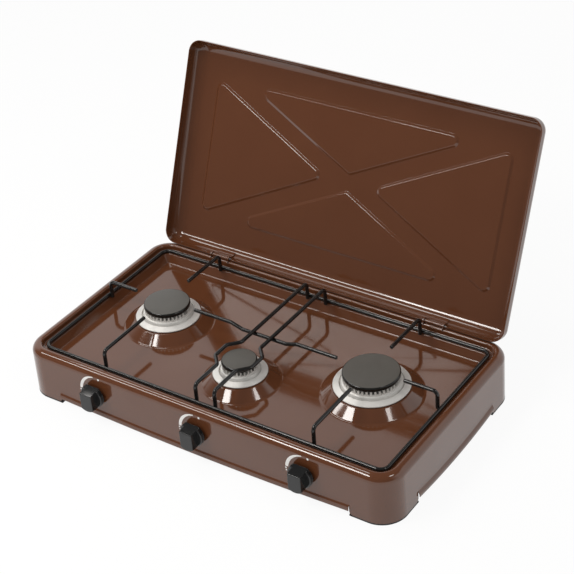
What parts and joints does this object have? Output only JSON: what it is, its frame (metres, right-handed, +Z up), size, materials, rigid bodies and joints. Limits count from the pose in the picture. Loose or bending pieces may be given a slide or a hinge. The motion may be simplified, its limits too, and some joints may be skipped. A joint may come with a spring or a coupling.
{
  "type": "three-burner tabletop gas stove",
  "caption": "Tabletop gas stove with a pressed enamel body, caps on cast burners, a wire pan support that lifts off, push-and-turn knobs and a hinged lid.",
  "frame": {"origin": "on the table, under the middle of the stove's box with the lid open", "axes": "+X to the right along the front, +Y to the rear, +Z up"},
  "size_m": [0.5522, 0.4298, 0.3334],
  "materials": {
    "enamel": "glossy brown enamel",
    "wire": "glossy black enamel",
    "cap_enamel": "satin black enamel",
    "cast_aluminium": "bright cast",
    "knob_plastic": "gloss black",
    "pad_rubber": "matt black",
    "brass": "machined",
    "steel": "zinc plated"
  },
  "bodies": {
    "stove_body": {"body_shell": "enamel", "hinge_bracket_left": "enamel", "hinge_bracket_right": "enamel", "foot_pad_front_left": "pad_rubber", "foot_pad_front_right": "pad_rubber", "foot_pad_rear_left": "pad_rubber", "foot_pad_rear_right": "pad_rubber", "gas_manifold": "steel", "manifold_clip_left": "steel", "manifold_clip_right": "steel", "inlet_pipe": "steel", "hinge_pin_left": "steel", "hinge_pin_right": "steel", "hinge_screws": "steel", "burner_screws": "steel", "manifold_plug": "brass", "hose_nozzle": "brass", "inlet_nut": "brass", "gland_nuts": "brass", "valve_body_left": "brass", "valve_body_middle": "brass", "valve_body_right": "brass", "jet_left": "brass", "jet_middle": "brass", "jet_right": "brass", "burner_head_left": "cast_aluminium", "burner_head_middle": "cast_aluminium", "burner_head_right": "cast_aluminium", "burner_cup_left": "cast_aluminium", "burner_cup_middle": "cast_aluminium", "burner_cup_right": "cast_aluminium"},
    "lid": {"lid": "enamel", "lid_leaf_left": "enamel", "lid_leaf_right": "enamel"},
    "pan_support": {"support_ring": "wire", "fork_bar_left": "wire", "fork_bar_right": "wire", "cross_bar": "wire", "prong_left_front": "wire", "prong_left_side": "wire", "prong_left_rear": "wire", "prong_right_front": "wire", "prong_right_side": "wire", "prong_right_rear": "wire"},
    "cap_left": {"burner_cap_left": "cap_enamel"},
    "tap_left": {"valve_plug_left": "steel"},
    "knob_left": {"knob_left": "knob_plastic", "stem_left": "steel"},
    "cap_middle": {"burner_cap_middle": "cap_enamel"},
    "tap_middle": {"valve_plug_middle": "steel"},
    "knob_middle": {"knob_middle": "knob_plastic", "stem_middle": "steel"},
    "cap_right": {"burner_cap_right": "cap_enamel"},
    "tap_right": {"valve_plug_right": "steel"},
    "knob_right": {"knob_right": "knob_plastic", "stem_right": "steel"}
  },
  "joints": [
    {"name": "lid_hinge", "type": "hinge", "parent": "stove_body", "child": "lid", "pos_m": [0, 0.09415, 0.072], "axis": [-1, 0, 0], "range_deg": [-112, 0]},
    {"name": "support_lift", "type": "slide", "parent": "stove_body", "child": "pan_support", "axis": [0, 0, 1], "range_m": [0, 0.06]},
    {"name": "cap_lift_left", "type": "slide", "parent": "stove_body", "child": "cap_left", "axis": [0, 0, 1], "range_m": [0, 0.025]},
    {"name": "tap_turn_left", "type": "hinge", "parent": "stove_body", "child": "tap_left", "pos_m": [-0.155, -0.19534, 0.0385], "axis": [0, -1, 0], "range_deg": [0, 100]},
    {"name": "knob_push_left", "type": "slide", "parent": "tap_left", "child": "knob_left", "axis": [0, 1, 0], "range_m": [0, 0.003], "stiffness_N_per_m": 1200, "springref_m": -0.003},
    {"name": "cap_lift_middle", "type": "slide", "parent": "stove_body", "child": "cap_middle", "axis": [0, 0, 1], "range_m": [0, 0.025]},
    {"name": "tap_turn_middle", "type": "hinge", "parent": "stove_body", "child": "tap_middle", "pos_m": [0, -0.19534, 0.0385], "axis": [0, -1, 0], "range_deg": [0, 100]},
    {"name": "knob_push_middle", "type": "slide", "parent": "tap_middle", "child": "knob_middle", "axis": [0, 1, 0], "range_m": [0, 0.003], "stiffness_N_per_m": 1200, "springref_m": -0.003},
    {"name": "cap_lift_right", "type": "slide", "parent": "stove_body", "child": "cap_right", "axis": [0, 0, 1], "range_m": [0, 0.025]},
    {"name": "tap_turn_right", "type": "hinge", "parent": "stove_body", "child": "tap_right", "pos_m": [0.155, -0.19534, 0.0385], "axis": [0, -1, 0], "range_deg": [0, 100]},
    {"name": "knob_push_right", "type": "slide", "parent": "tap_right", "child": "knob_right", "axis": [0, 1, 0], "range_m": [0, 0.003], "stiffness_N_per_m": 1200, "springref_m": -0.003}
  ]
}
